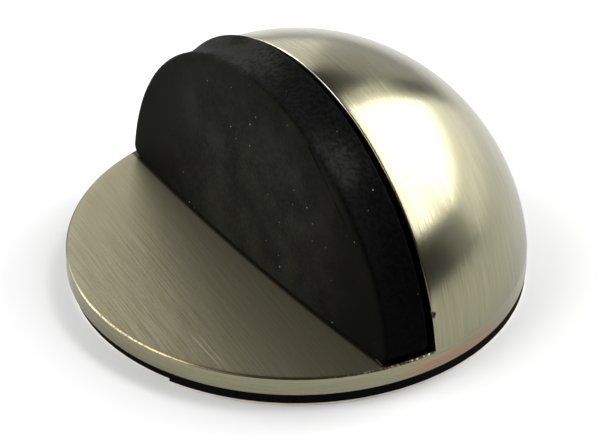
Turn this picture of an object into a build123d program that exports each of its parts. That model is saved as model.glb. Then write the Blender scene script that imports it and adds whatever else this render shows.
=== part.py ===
from build123d import *
import os
from math import cos, radians, sin, sqrt

# Floor door stop: a half-dome casting that carries a rubber buffer, on a self-adhesive pad.
# Millimetres.  The origin is on the floor under the centre of the round base, +Z is up,
# -Y is the side that the door meets, and X runs along the buffer.

# Adhesive pad and its release liner, cut together by one turn of a knife
liner_thickness = 0.25
pad_thickness = 1.1
pad_rim_inset = 0.1
pad_cut_step = 0.35
pad_cut_angle = -67.0

# Casting: a round base with an upright wall, a flat plate in front and a dome of one ball behind
base_diameter = 47.0
plate_thickness = 2.0
ball_centre_drop = 0.27
dome_front_y = 0.65
plate_edge_round = 0.25
dome_rim_round = 0.2

# Pocket in the dome's front for the buffer's plug
pocket_wall = 4.5
pocket_depth = 6.0
pocket_corner_round = 1.2
plug_clearance = 0.1

# Rubber buffer: a half-disc block that stands on the plate, a groove in front of the dome
groove_width = 0.95
buffer_end_thickness = 4.75
buffer_rim_proud = 0.05
buffer_raise = 0.7
buffer_rim_taper = 0.7
buffer_front_raise = 0.35
buffer_face_bow = 0.85
buffer_face_lean = 1.1
buffer_corner_round = 1.2
buffer_front_round = 0.5
buffer_back_round = 0.15

# Levels, radii and depths that follow from the sizes above
casting_base_z = liner_thickness + pad_thickness
plate_top_z = casting_base_z + plate_thickness
base_radius = base_diameter / 2
ball_centre_z = casting_base_z - ball_centre_drop
ball_radius = sqrt(base_radius**2 + (plate_thickness + ball_centre_drop) ** 2)
pocket_radius = ball_radius - pocket_wall
pad_radius = base_radius - pad_rim_inset
buffer_back_y = dome_front_y - groove_width
buffer_end_y = buffer_back_y - buffer_end_thickness
buffer_back_radius = base_radius + buffer_rim_proud
buffer_back_centre_z = ball_centre_z + buffer_raise
buffer_front_radius = buffer_back_radius - buffer_rim_taper
buffer_front_centre_z = buffer_back_centre_z + buffer_front_raise

# A span that reaches clear of the whole stop
clear_span = 3 * base_diameter


def plane_at_depth(y):
    """Upright plane across the stop at depth y, facing the door, with local Y up."""
    return Plane.XZ.offset(-y)


def draw_base_section():
    """Adds to the current sketch one half of the base's upright section."""
    with Locations((0, casting_base_z)):
        Rectangle(base_radius, plate_thickness, align=Align.MIN)


def draw_dome_section():
    """Adds to the current sketch one half of the ball's upright section above the plate."""
    with Locations((0, ball_centre_z)):
        Circle(ball_radius)
    with Locations((0, plate_top_z)):
        Rectangle(clear_span, clear_span, align=Align.MIN, mode=Mode.INTERSECT)


def draw_half_disc(radius, centre_z, corner_round):
    """Adds to the current sketch the part of a disc above the plate, with rounded lower corners."""
    with Locations((0, centre_z)):
        Circle(radius)
    with Locations((0, plate_top_z)):
        Rectangle(clear_span, clear_span, align=(Align.CENTER, Align.MAX), mode=Mode.SUBTRACT)
    fillet(vertices(), corner_round)


def draw_knife_cut():
    """Adds to the current sketch the pad's outline: the cut ends one step inside its start."""
    half_turn = 180
    shift = pad_cut_step / 2
    away = radians(pad_cut_angle + half_turn)
    late_centre = (shift * cos(away), shift * sin(away))
    with BuildLine() as outline:
        early = CenterArc((0, 0), pad_radius, pad_cut_angle, half_turn)
        late = CenterArc(late_centre, pad_radius - shift, pad_cut_angle + half_turn, half_turn)
        Line(late @ 1, early @ 0)
    make_face(outline.edges())


# Front of the base plate, with its rounded edge
with BuildPart() as front_plate:
    with BuildSketch(Plane.XZ) as plate_section:
        draw_base_section()
        top_corners = plate_section.vertices().group_by(Axis.Y)[-1]
        fillet(top_corners.sort_by(Axis.X)[-1], plate_edge_round)
    revolve(axis=Axis.Z)
    split(bisect_by=plane_at_depth(dome_front_y), keep=Keep.TOP)

# Back of the base, where the dome runs down into it
with BuildPart() as back_base:
    with BuildSketch(Plane.XZ):
        draw_base_section()
    revolve(axis=Axis.Z)
    split(bisect_by=plane_at_depth(dome_front_y), keep=Keep.BOTTOM)

# Dome above the plate, with its front rim rounded
with BuildPart() as quarter_dome:
    with BuildSketch(Plane.XZ):
        draw_dome_section()
    revolve(axis=Axis.Z)
    split(bisect_by=plane_at_depth(dome_front_y), keep=Keep.BOTTOM)
    dome_face = quarter_dome.faces().sort_by(Axis.Y)[0]
    fillet(dome_face.edges().filter_by(GeomType.CIRCLE), dome_rim_round)

# Plate, base and dome are one casting, with a pocket for the buffer's plug
with BuildPart() as dome_casting:
    add(front_plate.part)
    add(back_base.part)
    add(quarter_dome.part)
    with BuildSketch(plane_at_depth(dome_front_y)):
        draw_half_disc(pocket_radius, ball_centre_z, pocket_corner_round)
    extrude(amount=-pocket_depth, mode=Mode.SUBTRACT)
dome_casting.part.label = "dome_casting"

# Rubber buffer: a tapered block with a bowed face that leans back, and its plug
with BuildPart() as rubber_buffer:
    taper_reach = buffer_end_thickness + 2 * buffer_face_bow
    taper_share = taper_reach / buffer_end_thickness
    with BuildSketch(plane_at_depth(buffer_back_y)):
        draw_half_disc(buffer_back_radius, buffer_back_centre_z, buffer_corner_round)
    with BuildSketch(plane_at_depth(buffer_back_y - taper_reach)):
        far_radius = buffer_back_radius - buffer_rim_taper * taper_share
        far_centre_z = buffer_back_centre_z + buffer_front_raise * taper_share
        draw_half_disc(far_radius, far_centre_z, buffer_corner_round)
    loft()

    foot_half_width = sqrt(buffer_front_radius**2 - (plate_top_z - buffer_front_centre_z) ** 2)
    bow_radius = (foot_half_width**2 + buffer_face_bow**2) / (2 * buffer_face_bow)
    lean = radians(buffer_face_lean)
    foot_middle = (0, buffer_end_y - buffer_face_bow, plate_top_z)
    with BuildSketch(Plane(foot_middle, x_dir=(1, 0, 0), z_dir=(0, sin(lean), cos(lean)))):
        with Locations((0, bow_radius)):
            Circle(bow_radius)
    extrude(amount=clear_span, both=True, mode=Mode.INTERSECT)
    front_face = rubber_buffer.faces().sort_by(Axis.Y)[0]
    fillet(front_face.edges(), buffer_front_round)
    back_face = rubber_buffer.faces().sort_by(Axis.Y)[-1]
    fillet(back_face.edges(), buffer_back_round)

    with BuildSketch(plane_at_depth(buffer_back_y)):
        plug_corner_round = pocket_corner_round + plug_clearance
        draw_half_disc(pocket_radius - plug_clearance, ball_centre_z, plug_corner_round)
    extrude(amount=-(groove_width + pocket_depth))
rubber_buffer.part.label = "rubber_buffer"

# Foam adhesive pad
with BuildPart() as adhesive_pad:
    with BuildSketch(Plane.XY.offset(liner_thickness)):
        draw_knife_cut()
    extrude(amount=pad_thickness)
adhesive_pad.part.label = "adhesive_pad"

# Paper liner that covers the adhesive until the stop is fixed
with BuildPart() as release_liner:
    with BuildSketch():
        draw_knife_cut()
    extrude(amount=liner_thickness)
release_liner.part.label = "release_liner"

os.makedirs("parts", exist_ok=True)
export_step(dome_casting.part, "parts/dome_casting.step")
export_step(rubber_buffer.part, "parts/rubber_buffer.step")
export_step(adhesive_pad.part, "parts/adhesive_pad.step")
export_step(release_liner.part, "parts/release_liner.step")
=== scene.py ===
"""Visual model of a floor door stop: satin half-dome casting, rubber buffer, foam pad and liner.

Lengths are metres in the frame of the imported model: the origin is on the floor under the centre of
the round base, +Z is up, -Y is the side that the door meets, and X runs along the buffer.
"""

import logging
import math
from dataclasses import dataclass
from enum import Enum
from functools import cached_property
from typing import Any

import bpy
import numpy as np
from mathutils import Matrix, Vector


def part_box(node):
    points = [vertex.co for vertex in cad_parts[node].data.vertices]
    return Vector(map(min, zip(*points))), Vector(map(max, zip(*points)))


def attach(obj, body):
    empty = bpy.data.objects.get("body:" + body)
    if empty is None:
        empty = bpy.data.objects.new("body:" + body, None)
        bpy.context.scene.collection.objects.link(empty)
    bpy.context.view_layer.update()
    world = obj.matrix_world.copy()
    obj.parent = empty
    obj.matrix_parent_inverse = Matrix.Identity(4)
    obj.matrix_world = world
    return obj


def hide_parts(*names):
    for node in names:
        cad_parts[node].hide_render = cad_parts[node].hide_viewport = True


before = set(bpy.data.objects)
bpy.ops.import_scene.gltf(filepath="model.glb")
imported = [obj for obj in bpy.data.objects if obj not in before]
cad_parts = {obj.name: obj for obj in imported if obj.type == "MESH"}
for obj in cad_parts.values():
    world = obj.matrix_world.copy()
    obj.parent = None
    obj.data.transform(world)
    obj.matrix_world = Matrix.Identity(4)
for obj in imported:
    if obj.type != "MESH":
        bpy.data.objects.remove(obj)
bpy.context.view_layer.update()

# Short names for types that come often
Colour = tuple[float, float, float, float]
Triple = tuple[float, float, float]
Pair = tuple[float, float]
Socket = bpy.types.NodeSocket

LOG = logging.getLogger("floor_door_stop")
MM = 0.001
BODY = "root"
BRUSH_MAP = "brush"
MIRROR_X = np.array([-1.0, 1.0, 1.0])

# Points closer than this are one vertex; the phase keeps round sizes off the step's halfway marks.
WELD_STEP = 1e-7
WELD_PHASE = 0.217


class Slot(Enum):
    """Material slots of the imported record."""

    METAL = "satin_metal"
    RUBBER = "black_rubber"
    FOAM = "black_foam"
    LINER = "pale_liner"


class Brushing(Enum):
    """Which way the grinding marks run on a part of the casting."""

    AROUND_DOME = "around_dome"
    ALONG_BUFFER = "along_buffer"
    AROUND_BASE = "around_base"


def smooth_step(value: np.ndarray) -> np.ndarray:
    """Eases 0 to 1: the cubic 3t^2 - 2t^3 of the value clipped to that range."""
    t = np.clip(value, 0.0, 1.0)
    return t * t * (3.0 - 2.0 * t)


def even(steps: int) -> np.ndarray:
    """Shares from 0 to 1 at even steps."""
    return np.linspace(0.0, 1.0, steps + 1)


def between(start: np.ndarray, end: np.ndarray, shares: np.ndarray) -> np.ndarray:
    """Straight rows from one line of points to another.

    Args:
        start: Points of the first row, columns x 3.
        end: Points of the last row, columns x 3.
        shares: Share of the way for each row.

    Returns:
        Grid of points, rows x columns x 3: start + share * (end - start).
    """
    return start[None] + shares[:, None, None] * (end - start)[None]


def upright(flat: np.ndarray, depth: np.ndarray | float) -> np.ndarray:
    """Stands places of x and z up at a depth y."""
    y = np.broadcast_to(depth, flat.shape[:-1])
    return np.stack([flat[..., 0], y, flat[..., 1]], axis=-1)


def put_in_scene(name: str, data: Any) -> bpy.types.Object:
    """Makes an object.

    Args:
        name: Name of the new object.
        data: Its mesh, light or camera.

    Returns:
        The object, linked to the scene.
    """
    thing = bpy.data.objects.new(name, data)
    bpy.context.scene.collection.objects.link(thing)
    return thing


class ClosedSurface:
    """Collects grids of points and welds them into one closed mesh."""

    def __init__(self) -> None:
        """Starts with no grids."""
        self._points: list[np.ndarray] = []
        self._brush: list[np.ndarray] = []
        self._quads: list[np.ndarray] = []
        self._count: int = 0

    def add(self, points: np.ndarray, brush: np.ndarray, flip: bool = False) -> None:
        """Adds one grid; each cell of four neighbouring points becomes a face.

        Args:
            points: Grid of points, rows x columns x 3.
            brush: Place across and along the brushing at each point, rows x columns x 2.
            flip: Turns the faces round.
        """
        rows, columns = points.shape[:2]
        index = self._count + np.arange(rows * columns).reshape(rows, columns)
        corners = [index[:-1, :-1], index[:-1, 1:], index[1:, 1:], index[1:, :-1]]
        quads = np.stack(corners[::-1] if flip else corners, axis=-1).reshape(-1, 4)
        self._points.append(points.reshape(-1, 3))
        self._brush.append(brush.reshape(-1, 2))
        self._quads.append(quads)
        self._count += rows * columns

    def make(self, name: str, sharp_degrees: float) -> bpy.types.Object:
        """Welds the grids, drops collapsed corners and makes the object.

        Args:
            name: Name of the new object.
            sharp_degrees: Edges that turn by more than this are shaded sharp.

        Returns:
            The new object, with its place in its mesh.
        """
        points = np.concatenate(self._points)
        brush = np.concatenate(self._brush)
        quads = np.concatenate(self._quads)
        keys = np.round(points / WELD_STEP + WELD_PHASE).astype(np.int64)
        _, first, welded = np.unique(keys, axis=0, return_index=True, return_inverse=True)
        corners = welded.reshape(-1)[quads]
        doubled = corners == np.roll(corners, -1, axis=1)
        whole = doubled.sum(axis=1) == 0
        three = doubled.sum(axis=1) == 1
        kept = ~doubled[three]
        triangles = corners[three][kept].reshape(-1, 3)
        mesh = bpy.data.meshes.new(name)
        mesh.from_pydata(points[first].tolist(), [], corners[whole].tolist() + triangles.tolist())
        marks = mesh.uv_layers.new(name=BRUSH_MAP)
        loops = np.concatenate([quads[whole].reshape(-1), quads[three][kept]])
        marks.data.foreach_set("uv", brush[loops].astype(np.float32).reshape(-1))
        mesh.polygons.foreach_set("use_smooth", np.ones(len(mesh.polygons), dtype=bool))
        mesh.set_sharp_from_angle(angle=math.radians(sharp_degrees))
        mesh.update()
        return put_in_scene(name, mesh)


@dataclass(frozen=True)
class HalfDisc:
    """Upright outline: the part of a disc above a floor level, with rounded lower corners."""

    radius: float
    centre_z: float
    floor_z: float
    corner_round: float

    @property
    def corner(self) -> Pair:
        """Centre of the right-hand corner's arc, tangent to the disc and the floor from inside."""
        z = self.floor_z + self.corner_round
        return math.sqrt((self.radius - self.corner_round) ** 2 - (z - self.centre_z) ** 2), z

    def over_top(self, count: int) -> tuple[np.ndarray, np.ndarray]:
        """Runs from the right foot over the top to the left foot at even steps of length.

        The right corner's arc turns from straight down to the angle where it meets the disc; the
        disc's arc follows to the same angle on the left, where the mirrored corner ends the run.

        Args:
            count: Number of points.

        Returns:
            Points and outward directions, each count x 2 as x and z.
        """
        corner_x, corner_z = self.corner
        meet = math.atan2(corner_z - self.centre_z, corner_x)
        corner_turn = meet + math.pi / 2
        corner_run = corner_turn * self.corner_round
        disc_run = (math.pi - 2 * meet) * self.radius
        length = np.linspace(0.0, 2 * corner_run + disc_run, count)
        before = np.clip(length / corner_run, 0.0, 1.0) * corner_turn
        on_disc = np.clip((length - corner_run) / disc_run, 0.0, 1.0) * (math.pi - 2 * meet)
        after = np.clip((length - corner_run - disc_run) / corner_run, 0.0, 1.0) * corner_turn
        angle = before + on_disc + after - math.pi / 2
        out = np.stack([np.cos(angle), np.sin(angle)], axis=-1)
        disc = np.array([0.0, self.centre_z]) + self.radius * out
        side = np.where(length < corner_run + disc_run / 2, 1.0, -1.0)
        corner_centre = np.stack([side * corner_x, np.full(count, corner_z)], axis=-1)
        bend = corner_centre + self.corner_round * out
        is_disc = (length >= corner_run) & (length <= corner_run + disc_run)
        return np.where(is_disc[:, None], disc, bend), out

    def loop(self, over: int, under: int) -> tuple[np.ndarray, np.ndarray]:
        """Closes the run over the top with the straight foot.

        Args:
            over: Number of points over the top.
            under: Number of steps along the foot.

        Returns:
            Points and outward directions, each (over + under) x 2; the last repeats the first.
        """
        top, out = self.over_top(over)
        foot_x = np.linspace(top[-1, 0], top[0, 0], under + 1)[1:]
        foot = np.stack([foot_x, np.full(under, self.floor_z)], axis=-1)
        down = np.tile([0.0, -1.0], (under, 1))
        return np.concatenate([top, foot]), np.concatenate([out, down])


@dataclass(frozen=True)
class Ease:
    """A smooth change from start to end while a value goes from low to high."""

    low: float
    high: float
    start: float = 0.0
    end: float = 1.0


@dataclass(frozen=True)
class StraightMark:
    """A scratch, fold or scuff from one point to another, in millimetres.

    It is full over its core, a share of its width and of its length, and eases off round that.
    """

    start: Triple
    end: Triple
    width: float
    strength: float = 1.0
    core_width: float = 0.25
    core_length: float = 0.4


class NodeGraph:
    """Short calls for one material's node tree."""

    def __init__(self, tree: bpy.types.NodeTree) -> None:
        """Clears the tree.

        Args:
            tree: Node tree to fill.
        """
        self.tree = tree
        tree.nodes.clear()

    def add(self, kind: str, settings: dict[str, Any], inputs: dict[Any, Any]) -> bpy.types.Node:
        """Adds a node.

        Args:
            kind: Node type.
            settings: Properties of the node.
            inputs: Values, or sockets to link, by input name or number.

        Returns:
            The new node.
        """
        node = self.tree.nodes.new(kind)
        for key, value in settings.items():
            setattr(node, key, value)
        for key, value in inputs.items():
            if isinstance(value, Socket):
                self.tree.links.new(value, node.inputs[key])
            else:
                node.inputs[key].default_value = value
        return node

    def axes(self, vector: Socket) -> Any:
        """A vector's X, Y and Z."""
        return self.add("ShaderNodeSeparateXYZ", {}, {0: vector}).outputs

    @cached_property
    def spot(self) -> Socket:
        """Object coordinates."""
        return self.add("ShaderNodeTexCoord", {}, {}).outputs["Object"]

    @cached_property
    def at(self) -> Any:
        """Object coordinates apart, as X, Y and Z."""
        return self.axes(self.spot)

    @cached_property
    def facing(self) -> Any:
        """Direction in which the surface faces, as X, Y and Z."""
        return self.axes(self.add("ShaderNodeTexCoord", {}, {}).outputs["Normal"])

    @cached_property
    def brush(self) -> Socket:
        """Place across and along the brushing."""
        return self.add("ShaderNodeUVMap", {"uv_map": BRUSH_MAP}, {}).outputs["UV"]

    def noise(self, vector: Socket, scale: float, detail: float) -> Socket:
        """Cloud noise, from 0 to 1 about 0.5."""
        inputs = {"Vector": vector, "Scale": scale, "Detail": detail}
        return self.add("ShaderNodeTexNoise", {}, inputs).outputs["Fac"]

    def cloud(self, scale: float, detail: float) -> Socket:
        """Cloud noise over the object coordinates."""
        return self.noise(self.spot, scale, detail)

    def streaks(self, scale: Triple, detail: float) -> Socket:
        """Cloud noise over the brushing, with scales of its own across and along it."""
        scaled = self.add("ShaderNodeMapping", {}, {"Vector": self.brush, "Scale": scale})
        return self.noise(scaled.outputs["Vector"], 1.0, detail)

    def cells(self, scale: float) -> Any:
        """Round cells: the distance from each cell's seed and a random colour for each cell."""
        inputs = {"Vector": self.spot, "Scale": scale}
        return self.add("ShaderNodeTexVoronoi", {}, inputs).outputs

    def math(self, operation: str, first: Any, second: Any) -> Socket:
        """One sum of two values or sockets."""
        inputs = {0: first, 1: second}
        return self.add("ShaderNodeMath", {"operation": operation}, inputs).outputs[0]

    def plus(self, first: Any, second: Any) -> Socket:
        """Two values added."""
        return self.math("ADD", first, second)

    def minus(self, first: Any, second: Any) -> Socket:
        """The first value less the second."""
        return self.math("SUBTRACT", first, second)

    def times(self, first: Any, second: Any) -> Socket:
        """Two values multiplied."""
        return self.math("MULTIPLY", first, second)

    def greater(self, first: Any, second: Any) -> Socket:
        """Greater of two values."""
        return self.math("MAXIMUM", first, second)

    def apart(self, value: Socket, middle: float) -> Socket:
        """How far a value is from a middle, to either side."""
        return self.math("ABSOLUTE", self.minus(value, middle), 0.0)

    def vector(self, operation: str, first: Any, second: Any) -> bpy.types.Node:
        """One sum of two vectors."""
        return self.add("ShaderNodeVectorMath", {"operation": operation}, {0: first, 1: second})

    def length(self, vector: Socket) -> Socket:
        """Length of a vector."""
        node = self.add("ShaderNodeVectorMath", {"operation": "LENGTH"}, {0: vector})
        return node.outputs["Value"]

    def across(self, first: Socket, second: Socket) -> Socket:
        """Straight distance over two legs at right angles."""
        legs = self.add("ShaderNodeCombineXYZ", {}, {0: first, 1: second})
        return self.length(legs.outputs[0])

    def ramp(self, value: Socket, ease: Ease) -> Socket:
        """Eases from one value to another.

        Args:
            value: What the change follows.
            ease: The change.

        Returns:
            The eased value.
        """
        inputs = {
            "Value": value,
            "From Min": ease.low,
            "From Max": ease.high,
            "To Min": ease.start,
            "To Max": ease.end,
        }
        node = self.add("ShaderNodeMapRange", {"interpolation_type": "SMOOTHSTEP"}, inputs)
        return node.outputs["Result"]

    def mix(self, share: Any, first: Any, second: Any) -> Socket:
        """Blends two colours."""
        inputs = {0: share, 6: first, 7: second}
        return self.add("ShaderNodeMix", {"data_type": "RGBA"}, inputs).outputs[2]

    def bump(self, height: Socket, distance: float, strength: float) -> Socket:
        """Shading normal of a height pattern."""
        inputs = {"Height": height, "Distance": distance, "Strength": strength}
        return self.add("ShaderNodeBump", {}, inputs).outputs["Normal"]

    def marked(self, marks: tuple[StraightMark, ...]) -> Socket:
        """Share of straight marks: full in a mark's core, eased off beside it and at its ends.

        Args:
            marks: The marks.

        Returns:
            The greatest share of all marks.
        """
        share: Any = 0.0
        for mark in marks:
            start = Vector(mark.start) * MM
            end = Vector(mark.end) * MM
            way = (end - start).normalized()
            half = (end - start).length / 2
            width = mark.width * MM
            offset = self.vector("SUBTRACT", self.spot, (start + end) / 2).outputs["Vector"]
            along = self.vector("DOT_PRODUCT", offset, way).outputs["Value"]
            beside = self.vector("CROSS_PRODUCT", offset, way).outputs["Vector"]
            inside = self.ramp(self.length(beside), Ease(mark.core_width * width, width, 1.0, 0.0))
            run = Ease(mark.core_length * half, half, mark.strength, 0.0)
            within = self.ramp(self.apart(along, 0.0), run)
            share = self.greater(share, self.times(inside, within))
        return share

    def shade(self, inputs: dict[Any, Any]) -> None:
        """Ends the tree in one Principled shader.

        Args:
            inputs: Values or sockets by input name.
        """
        shader = self.add("ShaderNodeBsdfPrincipled", {}, inputs)
        self.add("ShaderNodeOutputMaterial", {}, {"Surface": shader.outputs["BSDF"]})


def new_material(name: str) -> tuple[bpy.types.Material, NodeGraph]:
    """Makes an empty node material.

    Args:
        name: Name of the material.

    Returns:
        The material and its graph.
    """
    material = bpy.data.materials.new(name)
    material.use_nodes = True
    return material, NodeGraph(material.node_tree)


@dataclass(frozen=True)
class SatinNickel:
    """Satin nickel over brushed metal: streaks follow the brushing, coarser on the plate.

    Chips and scratches lie over that, with a rubbed front edge that is also a painted glint,
    painted dark reflections on the edge's sides, painted contact shade along the buffer's foot,
    a painted pink reflection on the wall and a painted highlight on the dome's rim.
    Noises are given as scale and detail, reliefs as depth and strength.
    """

    colour: Colour = (0.290, 0.275, 0.183, 1.0)
    dull_colour: Colour = (0.238, 0.225, 0.150, 1.0)
    groove_colour: Colour = (0.207, 0.186, 0.113, 1.0)
    # Bared metal: real chips, and a painted glint on the rubbed front edge.
    bare_and_glint_colour: Colour = (0.85, 0.69, 0.38, 1.0)
    # Painted highlight on the dome's rim; also the colour of the scratches.
    rim_colour: Colour = (0.75, 0.73, 0.62, 1.0)
    # Painted dark reflection on the plate's edge round.
    edge_shade_colour: Colour = (0.085, 0.058, 0.034, 1.0)
    # Painted contact shade along the buffer's foot.
    foot_shade_colour: Colour = (0.022, 0.016, 0.009, 1.0)
    # Painted pink reflection low on the right of the wall.
    pink_reflection_colour: Colour = (0.38, 0.19, 0.12, 1.0)
    # Brushing
    dome_roughness: float = 0.23
    plate_roughness: float = 0.41
    streak_roughness: Ease = Ease(0.3, 0.7, 0.04, -0.04)
    anisotropy: float = 0.62
    fine_streaks: Triple = (9500.0, 210.0, 1.0)
    broad_streaks: Triple = (4300.0, 75.0, 1.0)
    line_streaks: Triple = (5200.0, 60.0, 1.0)
    streak_detail: float = 2.0
    line_detail: float = 1.0
    fine_weight: float = 0.6
    broad_weight: float = 0.4
    streak_tone: Ease = Ease(0.34, 0.66)
    line_peaks: Ease = Ease(0.66, 0.74)
    line_height: float = 0.6
    grain: Pair = (6500.0, 2.0)
    grain_tone: Ease = Ease(0.3, 0.7, -0.22, 0.22)
    middle_tone: float = 0.5
    calm_left: Ease = Ease(-17.0 * MM, -4.0 * MM, 0.3, 1.0)
    relief: Pair = (0.010 * MM, 0.45)
    # Plate and its edge
    before_dome: Ease = Ease(0.55 * MM, 0.65 * MM, 1.0, 0.0)
    plate_level: Ease = Ease(3.15 * MM, 3.30 * MM)
    plate_top_z: float = 3.35 * MM
    plate_radius: float = 23.5 * MM
    edge_round: float = 0.25 * MM
    edge_fade: Ease = Ease(0.05 * MM, 0.175 * MM, 1.0, 0.0)
    # Chips, scratches, painted shade, painted reflections and painted highlights
    edge_patches: Pair = (3600.0, 3.0)
    # The rubbed front run is also a painted glint; the chips further on are real.
    rubbed_glint_x: float = 3.0 * MM
    rubbed_glint_reach: Ease = Ease(4.0 * MM, 10.0 * MM, 1.0, 0.0)
    rubbed_glint_patches: Ease = Ease(0.35, 0.55, 0.15, 1.0)
    chipped_end: Ease = Ease(20.0 * MM, 22.5 * MM)
    chipped_patches: Ease = Ease(0.48, 0.68, 0.0, 0.7)
    # Where the painted dark reflection on the edge round lies, to the right and to the left.
    right_edge_shade: Ease = Ease(8.0 * MM, 12.0 * MM, 0.0, 0.75)
    left_edge_shade: Ease = Ease(-12.0 * MM, -8.5 * MM, 0.7, 0.0)
    # Where the painted contact shade at the buffer's foot lies.
    foot_y: float = -5.9 * MM
    foot_bow_radius: float = 303.0 * MM
    foot_fade: Ease = Ease(0.02 * MM, 0.42 * MM, 0.9, 0.0)
    # Where the painted pink reflection on the wall lies.
    pink_reflection_y: float = 3.6 * MM
    pink_reflection_z: float = 2.05 * MM
    pink_reflection_run: Ease = Ease(3.5 * MM, 8.5 * MM, 1.0, 0.0)
    pink_reflection_rise: Ease = Ease(0.1 * MM, 0.6 * MM, 1.0, 0.0)
    pink_reflection_side: Ease = Ease(15.0 * MM, 19.0 * MM)
    pink_reflection_streaks: Triple = (3000.0, 420.0, 1.0)
    pink_reflection_patches: Ease = Ease(0.32, 0.62, 0.35, 1.0)
    # Where the painted highlight on the dome's rim lies.
    rim_x: float = 2.0 * MM
    rim_reach: Ease = Ease(4.0 * MM, 7.0 * MM, 1.0, 0.0)
    rim_level: Ease = Ease(20.0 * MM, 21.0 * MM)
    rim_depth: Ease = Ease(0.71 * MM, 0.85 * MM, 1.0, 0.0)
    scratch_share: float = 0.4
    scratches: tuple[StraightMark, ...] = (
        StraightMark((6.4, -17.75, 3.35), (14.2, -18.35, 3.35), 0.07),
        StraightMark((6.6, -17.1, 3.35), (14.2, -17.85, 3.35), 0.06),
        StraightMark((20.9, -4.95, 3.35), (22.5, -5.1, 3.35), 0.13),
    )

    def edge_share(self, graph: NodeGraph) -> Socket:
        """Share of the plate's rounded edge.

        Args:
            graph: Graph of the finish.

        Returns:
            One on the middle of the edge round, easing to nothing within a round's width.
        """
        inset = self.edge_round * (1.0 - math.sqrt(0.5))
        ring = graph.across(graph.at["X"], graph.at["Y"])
        reach = graph.minus(ring, self.plate_radius - inset)
        rise = graph.minus(graph.at["Z"], self.plate_top_z - inset)
        return graph.ramp(graph.across(reach, rise), self.edge_fade)

    def foot_shade_share(self, graph: NodeGraph) -> Socket:
        """Share of the painted contact shade against the buffer's foot, which follows the bow of the
        face.

        Args:
            graph: Graph of the finish.

        Returns:
            Greatest at the foot, easing to nothing a little way in front of it.
        """
        bow = graph.math("DIVIDE", graph.math("POWER", graph.at["X"], 2.0), 2.0 * self.foot_bow_radius)
        gap = graph.minus(graph.plus(bow, self.foot_y), graph.at["Y"])
        return graph.ramp(gap, self.foot_fade)

    def bare_and_glint_share(self, graph: NodeGraph) -> Socket:
        """Share of bared metal on the plate's edge: a rubbed run at the front, partly a painted glint,
        and chips.

        Args:
            graph: Graph of the finish.

        Returns:
            The greater of the two, each broken up by a noise.
        """
        patches = graph.cloud(*self.edge_patches)
        reach = graph.ramp(graph.apart(graph.at["X"], self.rubbed_glint_x), self.rubbed_glint_reach)
        rubbed = graph.times(reach, graph.ramp(patches, self.rubbed_glint_patches))
        right_end = graph.ramp(graph.at["X"], self.chipped_end)
        chips = graph.times(right_end, graph.ramp(patches, self.chipped_patches))
        return graph.greater(rubbed, chips)

    def pink_reflection_share(self, graph: NodeGraph) -> Socket:
        """Share of the painted pink reflection on the right of the wall, in streaks along it.

        Args:
            graph: Graph of the finish.

        Returns:
            Greatest low on the wall and halfway along the run, easing off to its ends.
        """
        rise = graph.ramp(graph.apart(graph.at["Z"], self.pink_reflection_z), self.pink_reflection_rise)
        run = graph.ramp(graph.apart(graph.at["Y"], self.pink_reflection_y), self.pink_reflection_run)
        right = graph.times(graph.times(rise, run), graph.ramp(graph.at["X"], self.pink_reflection_side))
        streaks = graph.streaks(self.pink_reflection_streaks, self.streak_detail)
        return graph.times(right, graph.ramp(streaks, self.pink_reflection_patches))

    def rim_highlight_share(self, graph: NodeGraph) -> Socket:
        """Share of the painted highlight on top of the dome's rim.

        Args:
            graph: Graph of the finish.

        Returns:
            One on the top of the rim, easing off to both sides, downwards and back over the dome.
        """
        reach = graph.ramp(graph.apart(graph.at["X"], self.rim_x), self.rim_reach)
        run = graph.times(reach, graph.ramp(graph.at["Z"], self.rim_level))
        return graph.times(graph.ramp(graph.at["Y"], self.rim_depth), run)

    def material(self) -> bpy.types.Material:
        """Builds the finish.

        Returns:
            Metal whose colour, roughness and height vary with two scales of streaks, calmer to the
            left.  In front of the dome it is rougher, with thin bright lines where a third
            stretched noise peaks.  Painted dark reflections on the edge, painted contact shade at the
            buffer's foot, a painted pink reflection, bared metal with a painted glint, a painted rim
            highlight and scratches are blended over it.
        """
        material, graph = new_material("satin_nickel")
        before = graph.ramp(graph.at["Y"], self.before_dome)
        on_plate = graph.times(before, graph.ramp(graph.at["Z"], self.plate_level))
        fine = graph.streaks(self.fine_streaks, self.streak_detail)
        broad = graph.streaks(self.broad_streaks, self.streak_detail)
        streaks = graph.plus(graph.times(fine, self.fine_weight), graph.times(broad, self.broad_weight))
        peaks = graph.ramp(graph.streaks(self.line_streaks, self.line_detail), self.line_peaks)
        lines = graph.times(peaks, on_plate)
        grain = graph.ramp(graph.cloud(*self.grain), self.grain_tone)
        tone = graph.plus(graph.ramp(streaks, self.streak_tone), graph.plus(lines, grain))
        calm = graph.ramp(graph.at["X"], self.calm_left)
        calmed = graph.times(graph.minus(tone, self.middle_tone), calm)
        low_tone = graph.mix(on_plate, self.dull_colour, self.groove_colour)
        brushed = graph.mix(graph.plus(calmed, self.middle_tone), low_tone, self.colour)
        edge = graph.times(self.edge_share(graph), before)
        # The edge round is painted darker to the right and left, a painted dark reflection.
        right_edge_shade = graph.ramp(graph.at["X"], self.right_edge_shade)
        left_edge_shade = graph.ramp(graph.at["X"], self.left_edge_shade)
        edge_shade = graph.times(edge, graph.greater(right_edge_shade, left_edge_shade))
        satin = graph.mix(edge_shade, brushed, self.edge_shade_colour)
        # Painted contact shade in front of the buffer's foot.
        foot = graph.times(self.foot_shade_share(graph), on_plate)
        foot_shaded = graph.mix(foot, satin, self.foot_shade_colour)
        # Painted pink reflection on the wall.
        pink_reflected = graph.mix(self.pink_reflection_share(graph), foot_shaded, self.pink_reflection_colour)
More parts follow.
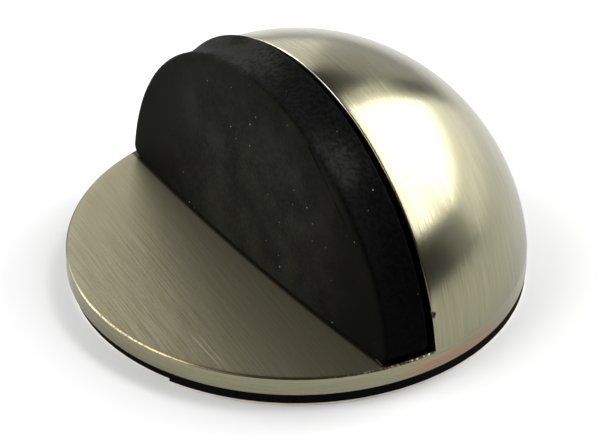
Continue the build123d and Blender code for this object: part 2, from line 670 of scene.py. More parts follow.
        # Bared metal on the edge: chips, and at the front a painted glint.
        bare_and_glint = graph.times(edge, self.bare_and_glint_share(graph))
        bared_and_glinting = graph.mix(bare_and_glint, pink_reflected, self.bare_and_glint_colour)
        scratched = graph.times(graph.marked(self.scratches), self.scratch_share)
        # Painted highlight on the rim, and real scratches, in the same bright colour.
        bright = graph.greater(self.rim_highlight_share(graph), scratched)
        roughness = graph.ramp(on_plate, Ease(0.0, 1.0, self.dome_roughness, self.plate_roughness))
        height = graph.plus(streaks, graph.times(lines, self.line_height))
        tangent = graph.add("ShaderNodeTangent", {"direction_type": "UV_MAP", "uv_map": BRUSH_MAP}, {})
        graph.shade(
            {
                "Base Color": graph.mix(bright, bared_and_glinting, self.rim_colour),
                "Metallic": 1.0,
                "Roughness": graph.plus(roughness, graph.ramp(streaks, self.streak_roughness)),
                "Anisotropic": self.anisotropy,
                "Tangent": tangent.outputs["Tangent"],
                "Normal": graph.bump(height, *self.relief),
            }
        )
        return material


@dataclass(frozen=True)
class MattRubber:
    """Moulded black rubber: deep black rim with chalky scuffs, a face painted lighter with a bloom,
    painted crease shade and dust.

    Noises are given as scale and detail, reliefs as depth and strength.
    """

    rim_colour: Colour = (0.0014, 0.0014, 0.0016, 1.0)
    # Grey of the scuffs and blotches, and of the rim towards the top.
    greyed_rim_colour: Colour = (0.0150, 0.0152, 0.0135, 1.0)
    # Painted light: the side that faces the door is a lighter black than the rim, as it faces the
    # light.
    lit_face_colour: Colour = (0.0042, 0.0042, 0.0034, 1.0)
    bloom_colour: Colour = (0.0230, 0.0228, 0.0178, 1.0)
    # Painted shade along the crease between face and rim.
    crease_shade_colour: Colour = (0.0012, 0.0012, 0.0011, 1.0)
    dust_colour: Colour = (0.42, 0.41, 0.37, 1.0)
    bloom_roughness: Ease = Ease(0.0, 1.0, 0.57, 0.70)
    specular: float = 0.012
    towards_door: Ease = Ease(-0.9, -0.35, 1.0, 0.0)
    cloud: Pair = (260.0, 6.0)
    mottle: Pair = (2600.0, 3.0)
    grain: Pair = (9000.0, 3.0)
    relief: Pair = (0.02 * MM, 0.4)
    rubbed_width: Ease = Ease(6.0 * MM, 19.5 * MM, 0.85, 0.06)
    rubbed_height: Ease = Ease(16.0 * MM, 24.0 * MM, 1.0, 0.4)
    cloud_bloom: Ease = Ease(0.3, 0.7, 0.35, 0.95)
    mottle_bloom: Ease = Ease(0.3, 0.7, -0.15, 0.25)
    # The rim greys towards the top.
    high_greying: Ease = Ease(11.0 * MM, 22.0 * MM, 0.0, 0.10)
    cloud_wear: Ease = Ease(0.35, 0.65, 0.12, 0.6)
    mottle_wear: Ease = Ease(0.3, 0.7, 0.5, 1.5)
    rim_blotches: Ease = Ease(0.35, 0.75, 0.0, 0.12)
    dust_scale: float = 900.0
    dust_size: Ease = Ease(0.035, 0.075, 1.0, 0.0)
    dust_chance: Ease = Ease(0.62, 1.0)
    dust_height: float = 2.0
    crease_shade_share: float = 0.8
    # Where the painted crease shade lies, along the right shoulder.
    crease_shades: tuple[StraightMark, ...] = (
        StraightMark((8.8, -5.38, 23.5), (12.9, -5.32, 20.0), 0.24),
        StraightMark((11.4, -5.34, 21.3), (16.9, -5.19, 15.9), 0.20, 0.8),
    )
    scuffs: tuple[StraightMark, ...] = (
        StraightMark((7.7, -3.75, 23.77), (9.5, -3.85, 23.05), 0.14, 1.6),
        StraightMark((8.0, -4.0, 23.6), (16.0, -1.9, 19.2), 3.0, 1.15),
        StraightMark((-24.0, -3.6, 11.0), (3.0, -2.0, 26.4), 7.0, 2.0),
    )

    def specks(self, graph: NodeGraph) -> Socket:
        """Share of dust.

        Args:
            graph: Graph of the finish.

        Returns:
            One near the seed point of the few cells whose own random value is high.
        """
        cells = graph.cells(self.dust_scale)
        chance = graph.add("ShaderNodeSeparateColor", {}, {0: cells["Color"]}).outputs[0]
        near = graph.ramp(cells["Distance"], self.dust_size)
        return graph.times(near, graph.ramp(chance, self.dust_chance))

    def material(self) -> bpy.types.Material:
        """Builds the finish.

        Returns:
            Dark rubber.  Where the surface faces the door it is painted a lighter black, as the side
            that faces the light, and a cloudy bloom greys it, most in the middle, where doors have
            rubbed it; the rim is mottled black with chalky scuffs and greys towards the top.  Painted
            crease shade lies along the right shoulder, and dust over everything.
        """
        material, graph = new_material("matt_rubber")
        on_face = graph.ramp(graph.facing["Y"], self.towards_door)
        cloud = graph.cloud(*self.cloud)
        mottle = graph.cloud(*self.mottle)
        patches = graph.plus(graph.ramp(cloud, self.cloud_bloom), graph.ramp(mottle, self.mottle_bloom))
        sides = graph.ramp(graph.apart(graph.at["X"], 0.0), self.rubbed_width)
        rubbed = graph.times(sides, graph.ramp(graph.at["Z"], self.rubbed_height))
        bloom = graph.times(rubbed, patches)
        # The face's own colour is painted lighter than the rim's, as painted light; the bloom is a
        # chalky rub.
        face = graph.mix(bloom, self.lit_face_colour, self.bloom_colour)
        scuffed = graph.times(graph.marked(self.scuffs), graph.ramp(cloud, self.cloud_wear))
        # The rim greys towards the top, and the scuffs grey it where they lie.
        greying = graph.plus(graph.ramp(graph.at["Z"], self.high_greying), scuffed)
        mottled = graph.times(graph.ramp(mottle, self.mottle_wear), greying)
        blotched = graph.plus(mottled, graph.ramp(mottle, self.rim_blotches))
        rim = graph.mix(blotched, self.rim_colour, self.greyed_rim_colour)
        # Painted crease shade along the right shoulder.
        crease_shaded = graph.times(graph.marked(self.crease_shades), self.crease_shade_share)
        body = graph.mix(crease_shaded, graph.mix(on_face, rim, face), self.crease_shade_colour)
        dust = self.specks(graph)
        height = graph.plus(graph.cloud(*self.grain), graph.times(dust, self.dust_height))
        graph.shade(
            {
                "Base Color": graph.mix(dust, body, self.dust_colour),
                "Roughness": graph.ramp(bloom, self.bloom_roughness),
                "Specular IOR Level": self.specular,
                "Normal": graph.bump(height, *self.relief),
            }
        )
        return material


@dataclass(frozen=True)
class CutFoam:
    """Black foam tape: open cells along the cut edge, which draws in by a slight waist.

    The relief is given as depth and strength.
    """

    colour: Colour = (0.0015, 0.0015, 0.0018, 1.0)
    cell_colour: Colour = (0.0045, 0.0045, 0.0052, 1.0)
    cell_scale: float = 5200.0
    cell_wall: Ease = Ease(0.15, 0.6)
    roughness: float = 0.85
    specular: float = 0.03
    relief: Pair = (0.05 * MM, 0.6)
    waist: float = 0.06 * MM

    def material(self) -> bpy.types.Material:
        """Builds the finish.

        Returns:
            Rough black whose small round cells are pits in height, painted darker as shade in the pits.
        """
        material, graph = new_material("cut_foam")
        # The pits are painted darker than the walls between them, as painted shade.
        wall = graph.ramp(graph.cells(self.cell_scale)["Distance"], self.cell_wall)
        graph.shade(
            {
                "Base Color": graph.mix(wall, self.colour, self.cell_colour),
                "Roughness": self.roughness,
                "Specular IOR Level": self.specular,
                "Normal": graph.bump(wall, *self.relief),
            }
        )
        return material


@dataclass(frozen=True)
class LinerPaper:
    """Waxed pale liner with an upright edge: soft fibres and faint yellowing.

    Noises are given as scale and detail, the relief as depth and strength.
    """

    colour: Colour = (0.80, 0.77, 0.64, 1.0)
    fibre_colour: Colour = (0.70, 0.66, 0.50, 1.0)
    cloud: Pair = (700.0, 4.0)
    yellowing: Ease = Ease(0.35, 0.7)
    fibres: Pair = (6000.0, 3.0)
    roughness: float = 0.5
    specular: float = 0.4
    relief: Pair = (0.01 * MM, 0.3)
    waist: float = 0.0

    def material(self) -> bpy.types.Material:
        """Builds the finish.

        Returns:
            Pale paper with cloudy yellowing and a fine fibre height.
        """
        material, graph = new_material("liner_paper")
        yellowed = graph.ramp(graph.cloud(*self.cloud), self.yellowing)
        fibres = graph.cloud(*self.fibres)
        graph.shade(
            {
                "Base Color": graph.mix(yellowed, self.colour, self.fibre_colour),
                "Roughness": self.roughness,
                "Specular IOR Level": self.specular,
                "Normal": graph.bump(fibres, *self.relief),
            }
        )
        return material


def dress(piece: bpy.types.Object, material: bpy.types.Material, node: str) -> None:
    """Gives a piece its finish and its place in the frame.

    Args:
        piece: The new piece.
        material: Its finish.
        node: CAD node that it stands for.
    """
    piece.data.materials.append(material)
    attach(piece, BODY)
    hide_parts(node)
    LOG.info("%s: %d faces, stands for %s", piece.name, len(piece.data.polygons), node)


@dataclass(frozen=True)
class RimNick:
    """A small knock on the dome's front rim, pushed inwards and a share of that backwards."""

    angle_degrees: float = 16.0
    width: float = 0.32 * MM
    depth: float = 0.22 * MM
    backwards: float = 0.6


@dataclass
class DomeCasting:
    """Round base with an upright wall, a plate in front, and a dome of one ball behind it."""

    base_radius: float
    base_z: float
    plate_thickness: float = 2.0 * MM
    ball_centre_drop: float = 0.27 * MM
    dome_front_y: float = 0.65 * MM
    plate_edge_round: float = 0.25 * MM
    dome_rim_round: float = 0.2 * MM
    rim_round_fade_degrees: float = 4.0
    pocket_wall: float = 4.5 * MM
    pocket_depth: float = 6.0 * MM
    pocket_corner_round: float = 1.2 * MM
    plate_brush_degrees: float = -8.0
    edge_brush_slope: float = 0.4
    nick: RimNick = RimNick()
    finish: SatinNickel = SatinNickel()
    columns: int = 420
    dome_rows: int = 56
    rim_rows: int = 6
    corner_rows: int = 3
    wall_rows: int = 5
    plate_rows: int = 14
    pocket_rows: int = 4
    foot_columns: int = 10
    bend_columns: int = 12
    sharp_degrees: float = 30.0

    def __post_init__(self) -> None:
        """Works out the plate's level and the ball, which meets the wall at that level."""
        self.plate_z = self.base_z + self.plate_thickness
        self.ball_z = self.base_z - self.ball_centre_drop
        self.ball_rise = self.plate_z - self.ball_z
        self.ball_radius = math.hypot(self.base_radius, self.ball_rise)
        self.front_radius = math.sqrt(self.ball_radius**2 - self.dome_front_y**2)
        self.foot_angle = math.asin(self.ball_rise / self.front_radius)

    @property
    def pocket(self) -> HalfDisc:
        """Outline of the pocket in the dome's front."""
        radius = self.ball_radius - self.pocket_wall
        return HalfDisc(radius, self.ball_z, self.plate_z, self.pocket_corner_round)

    def brush(self, points: np.ndarray, way: Brushing) -> np.ndarray:
        """Place across and along the brushing, in metres on the surface.

        On the dome the marks are circles about the Y axis; on the plate they are straight lines,
        turned a little from the buffer; on the wall they run round the base.

        Args:
            points: Grid of points.
            way: Which way the marks run.

        Returns:
            Grid of two coordinates, across and along.
        """
        x, y, z = points[..., 0], points[..., 1], points[..., 2] - self.ball_z
        if way is Brushing.AROUND_DOME:
            across = np.arcsin(np.clip(y / self.ball_radius, -1.0, 1.0)) * self.ball_radius
            along = np.arctan2(z, x) * self.ball_radius
        elif way is Brushing.ALONG_BUFFER:
            turn = math.radians(self.plate_brush_degrees)
            across = y * math.cos(turn) - x * math.sin(turn)
            along = x * math.cos(turn) + y * math.sin(turn)
        else:
            across = z - self.edge_brush_slope * np.hypot(x, y)
            along = np.mod(np.arctan2(y, x) - math.pi / 2, 2 * math.pi) * self.base_radius
        return np.stack([across, along], axis=-1)

    def around_y(self, ring: np.ndarray, turn: np.ndarray, y: np.ndarray) -> np.ndarray:
        """Points round the ball's Y axis by their radius about it, their turn and their depth."""
        return np.stack([ring * np.cos(turn), y, self.ball_z + ring * np.sin(turn)], axis=-1)

    def rim_turns(self) -> np.ndarray:
        """Even turns about the Y axis from the right foot of the dome's rim to the left foot."""
        return np.linspace(self.foot_angle, math.pi - self.foot_angle, self.columns + 1)

    def rim_rounds(self) -> np.ndarray:
        """Works out the rim's round.

        Returns:
            The round at each column: full over the top, fading to nothing at the feet.
        """
        turns = self.rim_turns()
        from_foot = np.minimum(turns, math.pi - turns) - self.foot_angle
        share = smooth_step(from_foot / math.radians(self.rim_round_fade_degrees))
        return self.dome_rim_round * share

    def back_longitudes(self) -> np.ndarray:
        """Even steps round the back of the base circle, from the right foot to the left foot."""
        start = math.asin(self.dome_front_y / self.base_radius)
        return np.linspace(start, math.pi - start, self.columns + 1)

    def wall_levels(self) -> np.ndarray:
        """Heights of the wall's rows from the base up to the start of the plate's edge round."""
        return np.linspace(self.base_z, self.plate_z - self.plate_edge_round, self.wall_rows + 1)

    def corner_levels(self) -> np.ndarray:
        """Heights of the wall's rows beside the plate's edge round, up to the plate's level."""
        return np.linspace(self.plate_z - self.plate_edge_round, self.plate_z, self.corner_rows + 1)

    def back_wall_grid(self) -> np.ndarray:
        """Upright wall under the dome: the base circle's back half at each of the wall's heights.

        Returns:
            Grid of points, the base first.
        """
        around = self.back_longitudes()
        level = np.concatenate([self.wall_levels(), self.corner_levels()[1:]])[:, None]
        x = np.broadcast_to(self.base_radius * np.cos(around), (len(level), len(around)))
        y = np.broadcast_to(self.base_radius * np.sin(around), x.shape)
        return np.stack([x, y, np.broadcast_to(level, x.shape)], axis=-1)

    def dome_grid(self) -> np.ndarray:
        """Dome from the wall's top to the rim.

        Each column starts at a point of the wall's top and ends at a point of the rim; its turn
        about the Y axis and its tilt towards +Y both change evenly on the way, so every point is
        on the ball, and the two end columns shrink to the rim's feet.

        Returns:
            Grid of points, the wall's top first.
        """
        around = self.back_longitudes()
        base_turn = np.arctan2(self.ball_rise, self.base_radius * np.cos(around))
        base_tilt = np.arcsin(self.base_radius * np.sin(around) / self.ball_radius)
        rounds = self.rim_rounds()
        rim_tilt = np.arcsin((self.dome_front_y + rounds) / (self.ball_radius - rounds))
        share = even(self.dome_rows)[:, None]
        turn = base_turn + share * (self.rim_turns() - base_turn)
        tilt = base_tilt + share * (rim_tilt - base_tilt)
        return self.around_y(self.ball_radius * np.cos(tilt), turn, self.ball_radius * np.sin(tilt))

    def rim_grid(self) -> np.ndarray:
        """Rounded rim: an arc that leaves the ball smoothly and ends flat in the dome's front.

        The arc's centre circle lies one round behind the front and on the ball shrunk by the
        round; the arc turns from the ball's own outward direction to straight forwards.

        Returns:
            Grid of points, the ball's side first.
        """
        rounds = self.rim_rounds()
        inner = self.ball_radius - rounds
        depth = self.dome_front_y + rounds
        centre = np.sqrt(inner**2 - depth**2)
        start = np.arcsin(depth / inner)
        lean = start - even(self.rim_rows)[:, None] * (start + math.pi / 2)
        ring = centre + rounds * np.cos(lean)
        return self.around_y(ring, self.rim_turns(), depth + rounds * np.sin(lean))

    def edge_profile(self) -> tuple[np.ndarray, np.ndarray]:
        """Profile of the plate's edge round, a quarter circle from the wall up.

        Returns:
            Radius and height of each row.
        """
        lean = np.linspace(0.0, math.pi / 2, 2 * self.corner_rows + 1)
        ring = self.base_radius + self.plate_edge_round * (np.cos(lean) - 1.0)
        return ring, self.plate_z + self.plate_edge_round * (np.sin(lean) - 1.0)

    def foot_line(self) -> np.ndarray:
        """Right foot of the dome's front: in from the wall, over the edge round, along the plate.

        Returns:
            Points x 3, the wall first.
        """
        ring, _ = self.edge_profile()
        wall_x, flat_x = np.sqrt(ring[[0, -1]] ** 2 - self.dome_front_y**2)
        over = np.linspace(wall_x, flat_x, self.corner_rows + 1)
        along = np.linspace(flat_x, self.pocket.corner[0], self.foot_columns + 1)
        x = np.concatenate([over, along[1:]])
        return upright(np.stack([x, np.full(len(x), self.plate_z)], axis=-1), self.dome_front_y)

    def corner_grid(self) -> np.ndarray:
        """Small right-hand web between the plate's edge round and the square end of the wall.

        Returns:
            Two rows: along the edge round, and up the wall's end then in along the foot line.
        """
        ring, level = self.edge_profile()
        profile = np.stack([np.sqrt(ring**2 - self.dome_front_y**2), level], axis=-1)
        foot = self.foot_line()
        up = np.repeat(foot[:1], self.corner_rows, axis=0)
        up[:, 2] = self.corner_levels()[:-1]
        over = np.concatenate([up, foot[: self.corner_rows + 1]])
        return np.stack([upright(profile, self.dome_front_y), over])

    def front_grid(self, rim: np.ndarray) -> np.ndarray:
        """Dome's front between the rim and the pocket, which ends on the foot lines.

        Rows run straight from the rim to the pocket's outline, at the foot line's own shares;
        the columns next to each foot bend towards the foot line's shape.

        Args:
            rim: The rim's last row of points.

        Returns:
            Grid of points, the rim first.
        """
        outline, _ = self.pocket.over_top(self.columns + 1)
        foot = self.foot_line()
        share = (foot[:, 0] - foot[0, 0]) / (foot[-1, 0] - foot[0, 0])
        grid = between(rim, upright(outline, self.dome_front_y), share)
        bend = foot - grid[:, 0]
        from_end = np.arange(self.columns + 1)
        right = (1.0 - smooth_step(from_end / self.bend_columns))[None, :, None]
        return grid + right * bend[:, None] + right[:, ::-1] * (bend * MIRROR_X)[:, None]

    def pocket_grids(self, mouth: np.ndarray) -> list[np.ndarray]:
        """Pocket: its wall straight back, its end wall down to the floor, its floor forwards.

        Args:
            mouth: Points of the pocket's outline in the dome's front.

        Returns:
            The three grids in that order.
        """
        depth = np.array([0.0, self.pocket_depth, 0.0])
        back = mouth + depth
        floor_back = back.copy()
        floor_back[:, 0] = np.linspace(mouth[0, 0], mouth[-1, 0], self.columns + 1)
        floor_back[:, 2] = self.plate_z
        lines = [mouth, back, floor_back, floor_back - depth]
        shares = even(self.pocket_rows)
        return [between(start, end, shares) for start, end in zip(lines, lines[1:])]

    def front_ring(self, ring: np.ndarray, level: np.ndarray, columns: int) -> np.ndarray:
        """Rings round the front of the base that end in the plane of the dome's front.

        Args:
            ring: Radius of each row.
            level: Height of each row.
            columns: Number of columns.

        Returns:
            Grid of points from the right end round the front to the left end.
        """
        start = np.arcsin(self.dome_front_y / ring)[:, None]
        around = start - even(columns - 1) * (math.pi + 2 * start)
        z = np.broadcast_to(level[:, None], around.shape)
        return np.stack([ring[:, None] * np.cos(around), ring[:, None] * np.sin(around), z], axis=-1)

    def plate_grids(self, floor_front: np.ndarray) -> list[np.ndarray]:
        """Plate's top from the dome's foot to the edge, its edge round, and its wall.

        Args:
            floor_front: Front line of the pocket's floor.

        Returns:
            The three grids in that order.
        """
        right = self.foot_line()[self.corner_rows : -1]
        chord = np.concatenate([right, floor_front, right[::-1] * MIRROR_X])
        ring, level = self.edge_profile()
        edge = self.front_ring(ring[::-1], level[::-1], len(chord))
        level = self.wall_levels()[::-1]
        wall = self.front_ring(np.full(len(level), self.base_radius), level, len(chord))
        return [between(chord, edge[0], even(self.plate_rows)), edge, wall]

    def knock(self, points: np.ndarray) -> np.ndarray:
        """Pushes a small dent into the rim: a bell-shaped fall in depth round the nick's place.

        Args:
            points: Grid of points.

        Returns:
            The grid with the dent.
        """
        angle = math.radians(self.nick.angle_degrees)
        reach = self.front_radius * np.array([math.cos(angle), 0.0, math.sin(angle)])
        offset = points - (reach + np.array([0.0, self.dome_front_y, self.ball_z]))
        fall = np.exp(-np.sum(offset**2, axis=-1) / self.nick.width**2)[..., None]
        inwards = np.array([-math.cos(angle), self.nick.backwards, -math.sin(angle)])
        return points + fall * self.nick.depth * inwards

    def build(self) -> bpy.types.Object:
        """Joins the grids into the casting and dresses it.

        Returns:
            The casting.
        """
        surface = ClosedSurface()
        back_wall = self.back_wall_grid()
        rim = self.rim_grid()
        front = self.front_grid(rim[-1])
        pocket_wall, end, floor = self.pocket_grids(front[-1])
        top, edge, front_wall = self.plate_grids(floor[-1])
        corner = self.corner_grid()
        for grid in (self.dome_grid(), rim, front):
            surface.add(self.knock(grid), self.brush(grid, Brushing.AROUND_DOME))
        for grid, flip in ((corner, True), (corner * MIRROR_X, False)):
            surface.add(grid, self.brush(grid, Brushing.AROUND_DOME), flip)
        for grid in (pocket_wall, end, floor, top):
            surface.add(grid, self.brush(grid, Brushing.ALONG_BUFFER))
        for grid in (back_wall, edge, front_wall):
            surface.add(grid, self.brush(grid, Brushing.AROUND_BASE))
        centre = np.array([0.0, 0.0, self.base_z])
        for base_line, flip in ((back_wall[0], False), (front_wall[-1], True)):
            under = np.stack([np.broadcast_to(centre, base_line.shape), base_line])
            surface.add(under, self.brush(under, Brushing.ALONG_BUFFER), flip)
        piece = surface.make("casting_satin", self.sharp_degrees)
        dress(piece, self.finish.material(), "dome_casting")
        return piece


@dataclass
class RubberBuffer:
    """Half-disc rubber block with a tapered rim, a bowed face that leans back, and a plug."""

    casting: DomeCasting
    plug_clearance: float = 0.1 * MM
    groove_width: float = 0.95 * MM
    end_thickness: float = 4.75 * MM
    rim_proud: float = 0.05 * MM
    raise_back: float = 0.7 * MM
    rim_taper: float = 0.7 * MM
    raise_front: float = 0.35 * MM
    face_bow: float = 0.85 * MM
    face_lean_degrees: float = 1.1
    corner_round: float = 1.2 * MM
    front_round: float = 0.5 * MM
    back_round: float = 0.15 * MM
    rim_hollow: float = 0.3 * MM
    hollow_fade: float = 6.0 * MM
    finish: MattRubber = MattRubber()
    over_points: int = 281
    foot_steps: int = 90
    round_rows: int = 6
    rim_rows: int = 12
    plug_rows: int = 6
    face_rows: int = 24
    face_middle: float = 0.45
    edge_tries: int = 3
    sharp_degrees: float = 35.0

    def __post_init__(self) -> None:
        """Works out the back plane, the two outlines and the face, a wide cylinder."""
        self.back_y = self.casting.dome_front_y - self.groove_width
        self.end_y = self.back_y - self.end_thickness
        self.floor_z = self.casting.plate_z
        self.count = self.over_points + self.foot_steps
        radius = self.casting.base_radius + self.rim_proud
        centre_z = self.casting.ball_z + self.raise_back
        end_radius = radius - self.rim_taper
        end_z = centre_z + self.raise_front
        self.back_disc = HalfDisc(radius, centre_z, self.floor_z, self.corner_round)
        self.end_disc = HalfDisc(end_radius, end_z, self.floor_z, self.corner_round)
        half_width = math.sqrt(end_radius**2 - (self.floor_z - end_z) ** 2)
        self.bow_radius = (half_width**2 + self.face_bow**2) / (2 * self.face_bow)

    def section(self, depth: np.ndarray) -> tuple[np.ndarray, np.ndarray]:
        """Outline of the block at a depth of its own for each point of the loop.

        The half disc shrinks and rises evenly from the back plane forwards.  Two outlines, at the
        back and at the end thickness, are worked out and each point slides along the line
        between its two places.

        Args:
            depth: Depth y of each point, rows x points.

        Returns:
            Points, rows x points x 3, and outward directions, points x 3.
        """
        back_line, out = self.back_disc.loop(self.over_points, self.foot_steps)
        end_line, _ = self.end_disc.loop(self.over_points, self.foot_steps)
        share = ((self.back_y - depth) / self.end_thickness)[..., None]
        return upright(back_line + share * (end_line - back_line), depth), upright(out, 0.0)

    def face_y(self, x: np.ndarray, z: np.ndarray) -> np.ndarray:
        """Depth of the face: the bow's sagitta across X, plus the lean with height.

        Args:
            x: Place along the buffer.
            z: Height.

        Returns:
            Depth y at each place.
        """
        lean = math.radians(self.face_lean_degrees)
        bow = self.bow_radius - np.sqrt(self.bow_radius**2 - x**2)
        return self.end_y - self.face_bow + (bow + (z - self.floor_z) * math.sin(lean)) / math.cos(lean)

    def edge_depth(self) -> np.ndarray:
        """Finds the depth at which the rim would meet the face, by substitution.

        Returns:
            Depth y at each point of the loop.
        """
        depth = np.full(self.count, self.end_y)
        for _ in range(self.edge_tries):
            points, _ = self.section(depth)
            depth = self.face_y(points[:, 0], points[:, 2])
        return depth

    def rim_grids(self) -> list[np.ndarray]:
        """Back round, rim and front round.

        Each round is a quarter arc of insets from the outline.  The rim between them is slightly
        hollow, a half sine of inset that fades out at the feet.  The front round follows the
        bowed face.

        Returns:
            The three grids, from the back to the face.
        """
        quarter = np.linspace(0.0, math.pi / 2, self.round_rows + 1)[:, None]
        round_shape = (len(quarter), self.count)
        back_inset = self.back_round * (1.0 - np.sin(quarter))
        back_depth = self.back_y - self.back_round * (1.0 - np.cos(quarter))
        outline, out = self.section(np.broadcast_to(back_depth, round_shape))
        back = outline - back_inset[..., None] * out
        last = self.edge_depth() + self.front_round
        start = np.full(self.count, self.back_y - self.back_round)
        share = even(self.rim_rows)[:, None]
        rim, _ = self.section(start + share * (last - start))
        above = smooth_step((rim[..., 2] - self.floor_z) / self.hollow_fade)
        rim = rim - (self.rim_hollow * np.sin(math.pi * share) * above)[..., None] * out
        outline, _ = self.section(np.broadcast_to(last, round_shape))
        front = outline - (self.front_round * (1.0 - np.cos(quarter)))[..., None] * out
        rise = self.front_round * (1.0 - np.sin(quarter))
        front[..., 1] = self.face_y(front[..., 0], front[..., 2]) + rise
        front[0] = rim[-1]
        return [back, rim, front]

    def plug_lines(self) -> tuple[np.ndarray, np.ndarray]:
        """Plug that fills the pocket but for its clearance.

        Returns:
            Its outline in the block's back plane and at its far end.
        """
        pocket = self.casting.pocket
        radius = pocket.radius - self.plug_clearance
        corner_round = pocket.corner_round + self.plug_clearance
        plug = HalfDisc(radius, pocket.centre_z, self.floor_z, corner_round)
        loop, _ = plug.loop(self.over_points, self.foot_steps)
        far_y = self.back_y + self.groove_width + self.casting.pocket_depth
        return upright(loop, self.back_y), upright(loop, far_y)

    def build(self) -> bpy.types.Object:
        """Joins plug, back, rim and face into the buffer and dresses it.

        The plug's end and the face are each closed on one point in their middle.

        Returns:
            The buffer.
        """
        back, rim, front = self.rim_grids()
        plug_front, plug_end = self.plug_lines()
        top_z = self.casting.pocket.centre_z + self.casting.pocket.radius
        middle_z = self.floor_z + self.face_middle * (top_z - self.floor_z)
        middle = np.broadcast_to(np.array([0.0, plug_end[0, 1], middle_z]), plug_end.shape)
        face = between(front[-1], middle, even(self.face_rows))
        face[..., 1] = self.face_y(face[..., 0], face[..., 2])
        lines = [middle, plug_end, plug_front, back[0]]
        shares = even(self.plug_rows)
        plug = [between(start, end, shares) for start, end in zip(lines, lines[1:])]
        surface = ClosedSurface()
        for grid in (*plug, back, rim, front, face):
            surface.add(grid, grid[..., [0, 2]])
        piece = surface.make("buffer_rubber", self.sharp_degrees)
        dress(piece, self.finish.material(), "rubber_buffer")
        return piece


@dataclass(frozen=True)
class KnifeCut:
    """Outline that pad and liner share: one turn of a knife that ends a step inside its start."""

    base_radius: float
    rim_inset: float = 0.1 * MM
    step: float = 0.35 * MM
    angle_degrees: float = -67.0
    points: int = 361

    @property
    def radius(self) -> float:
        """Radius of the cut's first half, a little inside the base."""
        return self.base_radius - self.rim_inset

    @property
    def middle(self) -> np.ndarray:
        """Middle of the flat sides, set off the line of the step so that no face collapses."""
        start = math.radians(self.angle_degrees)
        return self.step * np.array([-math.sin(start), math.cos(start)])

    def outline(self) -> np.ndarray:
        """Two half circles, the second with its centre half a step away from the start.

        Returns:
            Points x 2, closed: the last repeats the first across the step.
        """
        start = math.radians(self.angle_degrees)
        early = start + np.linspace(0.0, math.pi, self.points)
        late = early + math.pi
        shift = -self.step / 2 * np.array([math.cos(start), math.sin(start)])
        first = self.radius * np.stack([np.cos(early), np.sin(early)], axis=-1)
        second = shift + (self.radius - self.step / 2) * np.stack([np.cos(late), np.sin(late)], axis=-1)
        return np.concatenate([first, second, first[:1]])


@dataclass
class PadSheet:
    """One layer under the casting, cut along the knife's turn; its box is its CAD node's."""

    name: str
    node: str
    slot: Slot
    cut: KnifeCut
    box: tuple[Triple, Triple]
    finish: CutFoam | LinerPaper
    side_rows: int = 8
    sharp_degrees: float = 30.0

    def build(self) -> bpy.types.Object:
        """Raises the outline into a closed sheet as high as its CAD node and dresses it.

        The cut edge draws in by the material's waist, a half sine over its height.

        Returns:
            The sheet.
        """
        low, high = self.box
        line = self.cut.outline()
        share = even(self.side_rows)
        scale = 1.0 - self.finish.waist / self.cut.radius * np.sin(math.pi * share)
        level = low[2] + share * (high[2] - low[2])
        level_grid = np.broadcast_to(level[:, None, None], (len(share), len(line), 1))
        side = np.concatenate([scale[:, None, None] * line[None], level_grid], axis=-1)
        surface = ClosedSurface()
        surface.add(side, side[..., :2])
        for row, flip in ((side[:1], False), (side[-1:], True)):
            middle = np.broadcast_to(np.append(self.cut.middle, row[0, 0, 2]), row.shape)
            cap = np.concatenate([middle, row])
            surface.add(cap, cap[..., :2], flip)
        piece = surface.make(self.name, self.sharp_degrees)
        dress(piece, self.finish.material(), self.node)
        return piece


@dataclass(frozen=True)
class SoftPanel:
    """A soft rectangular light; one that isn't mirrored lights only what is matt."""

    name: str
    place: Triple
    facing: Triple
    roll_degrees: float
    size: Pair
    radiance: float
    mirrored: bool = True


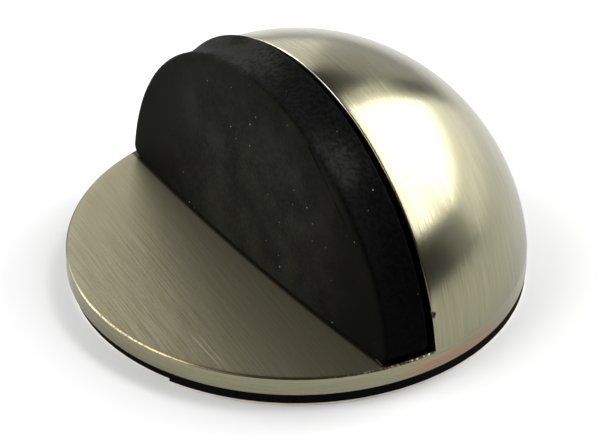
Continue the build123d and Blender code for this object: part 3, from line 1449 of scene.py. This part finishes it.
@dataclass
class Studio:
    """Pale floor, soft lights and the camera at the photograph's angle."""

    base_radius: float
    target_z: float
    image_width: int = 598
    sensor_width: float = 36.0
    focal_pixels: float = 5060.0
    azimuth_degrees: float = 55.556
    elevation_degrees: float = 35.124
    distance_radii: float = 22.0
    right_radii: float = 0.0114
    up_radii: float = 0.1576
    clip: Pair = (0.01, 20.0)
    floor_half: float = 1.5
    floor_drop: float = 0.02 * MM
    floor_colour: Colour = (0.57, 0.57, 0.57, 1.0)
    floor_roughness: float = 0.9
    floor_specular: float = 0.1
    glow_colour: Colour = (1.0, 1.0, 1.0, 1.0)
    floor_glow: float = 0.05
    room_colour: Colour = (0.95, 0.97, 1.0, 1.0)
    room_strength: float = 0.06
    panels: tuple[SoftPanel, ...] = (
        SoftPanel("window_panel", (0.041, 0.40, 0.45), (0.0, -1.0, 0.0), 0.0, (0.358, 0.63), 6.8),
        SoftPanel("window_fringe", (-0.181, 0.40, 0.50), (0.0, -1.0, 0.0), 0.0, (0.085, 0.54), 1.7),
        SoftPanel("window_side", (0.36, 0.40, 0.505), (0.0, -1.0, 0.0), -24.0, (0.40, 0.52), 5.8),
        SoftPanel("left_panel", (-0.50, -0.02, 0.313), (1.0, 0.0, 0.0), 0.0, (0.88, 0.504), 1.7),
        SoftPanel("left_strip", (-0.54, 0.22, 0.033), (1.0, 0.0, 0.0), 0.0, (0.44, 0.06), 0.55),
        SoftPanel("back_left", (-0.345, 0.415, 0.20), (0.64, -0.77, 0.0), 0.0, (0.19, 0.34), 0.75),
        SoftPanel("back_strip", (0.0, 0.45, 0.055), (0.0, -1.0, 0.0), 0.0, (0.40, 0.11), 2.05),
        SoftPanel("front_panel", (-0.08, -0.43, 0.36), (0.08, 0.43, -0.36), 0.0, (0.50, 0.30), 3.8),
        SoftPanel("glint_strip", (-0.42, -0.22, 0.17), (0.42, 0.22, -0.17), 0.0, (0.24, 0.07), 9.0),
        SoftPanel("floor_wash", (-0.06, -0.12, 0.20), (0.1, 0.2, -1.0), 0.0, (0.12, 0.12), 5.5, False),
        SoftPanel("back_wash", (-0.045, 0.10, 0.14), (0.0, 0.0, -1.0), 0.0, (0.12, 0.12), 2.4, False),
        SoftPanel("back_right", (0.273, 0.42, 0.07), (-0.54, -0.84, 0.0), 0.0, (0.13, 0.12), 0.40),
    )

    def camera(self) -> None:
        """Makes the scene's camera, which looks level across the line of sight, without roll."""
        azimuth = math.radians(self.azimuth_degrees)
        elevation = math.radians(self.elevation_degrees)
        flat = math.cos(elevation)
        back = Vector((math.sin(azimuth) * flat, -math.cos(azimuth) * flat, math.sin(elevation)))
        right = Vector((math.cos(azimuth), math.sin(azimuth), 0.0))
        up = back.cross(right)
        reach = self.distance_radii * back + self.right_radii * right + self.up_radii * up
        data = bpy.data.cameras.new("photo_camera")
        data.sensor_width = self.sensor_width
        data.lens = self.focal_pixels / self.image_width * self.sensor_width
        data.clip_start, data.clip_end = self.clip
        camera = put_in_scene("photo_camera", data)
        turn = Matrix((right, up, back)).transposed().to_4x4()
        place = Vector((0.0, 0.0, self.target_z)) + self.base_radius * reach
        camera.matrix_world = Matrix.Translation(place) @ turn
        bpy.context.scene.camera = camera

    def floor(self) -> None:
        """Makes the pale floor, a hair under the liner."""
        half = self.floor_half
        corners = [(-half, -half), (half, -half), (half, half), (-half, half)]
        mesh = bpy.data.meshes.new("pale_floor")
        mesh.from_pydata([(x, y, -self.floor_drop) for x, y in corners], [], [(0, 1, 2, 3)])
        material, graph = new_material("pale_floor")
        graph.shade(
            {
                "Base Color": self.floor_colour,
                "Roughness": self.floor_roughness,
                "Specular IOR Level": self.floor_specular,
                "Emission Color": self.glow_colour,
                "Emission Strength": self.floor_glow,
            }
        )
        mesh.materials.append(material)
        floor = put_in_scene("pale_floor", mesh)

    def hang(self, panel: SoftPanel) -> None:
        """Hangs a soft rectangular light that the camera doesn't see.

        Args:
            panel: Place, facing, size and brightness of the light.
        """
        data = bpy.data.lights.new(panel.name, "AREA")
        data.shape = "RECTANGLE"
        data.size, data.size_y = panel.size
        data.energy = panel.radiance * panel.size[0] * panel.size[1] * math.pi
        light = put_in_scene(panel.name, data)
        light.location = panel.place
        turn = Vector(panel.facing).to_track_quat("-Z", "Y").to_matrix()
        roll = Matrix.Rotation(math.radians(panel.roll_degrees), 3, "Z")
        light.rotation_euler = (turn @ roll).to_euler()
        light.visible_camera = False
        light.visible_glossy = panel.mirrored

    def build(self) -> None:
        """Sets floor, lights, surroundings and camera."""
        self.floor()
        for panel in self.panels:
            self.hang(panel)
        world = bpy.data.worlds.new("soft_room")
        world.use_nodes = True
        shade = world.node_tree.nodes["Background"]
        shade.inputs["Color"].default_value = self.room_colour
        shade.inputs["Strength"].default_value = self.room_strength
        scene = bpy.context.scene
        scene.world = world
        scene.view_settings.view_transform = "Standard"
        self.camera()


def main() -> None:
    """Builds each piece in order, then the studio."""
    logging.basicConfig(level=logging.INFO, format="%(name)s: %(message)s")
    casting_low, casting_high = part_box("dome_casting")
    pad_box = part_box("adhesive_pad")
    liner_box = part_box("release_liner")
    base_radius = float(casting_high[1])
    casting = DomeCasting(base_radius, float(casting_low[2]))
    casting.build()
    RubberBuffer(casting).build()
    cut = KnifeCut(base_radius)
    pad = PadSheet("pad_foam", "adhesive_pad", Slot.FOAM, cut, pad_box, CutFoam())
    pad.build()
    PadSheet("liner_paper", "release_liner", Slot.LINER, cut, liner_box, LinerPaper()).build()
    Studio(base_radius, casting.base_z).build()


if __name__ == "__main__":
    main()
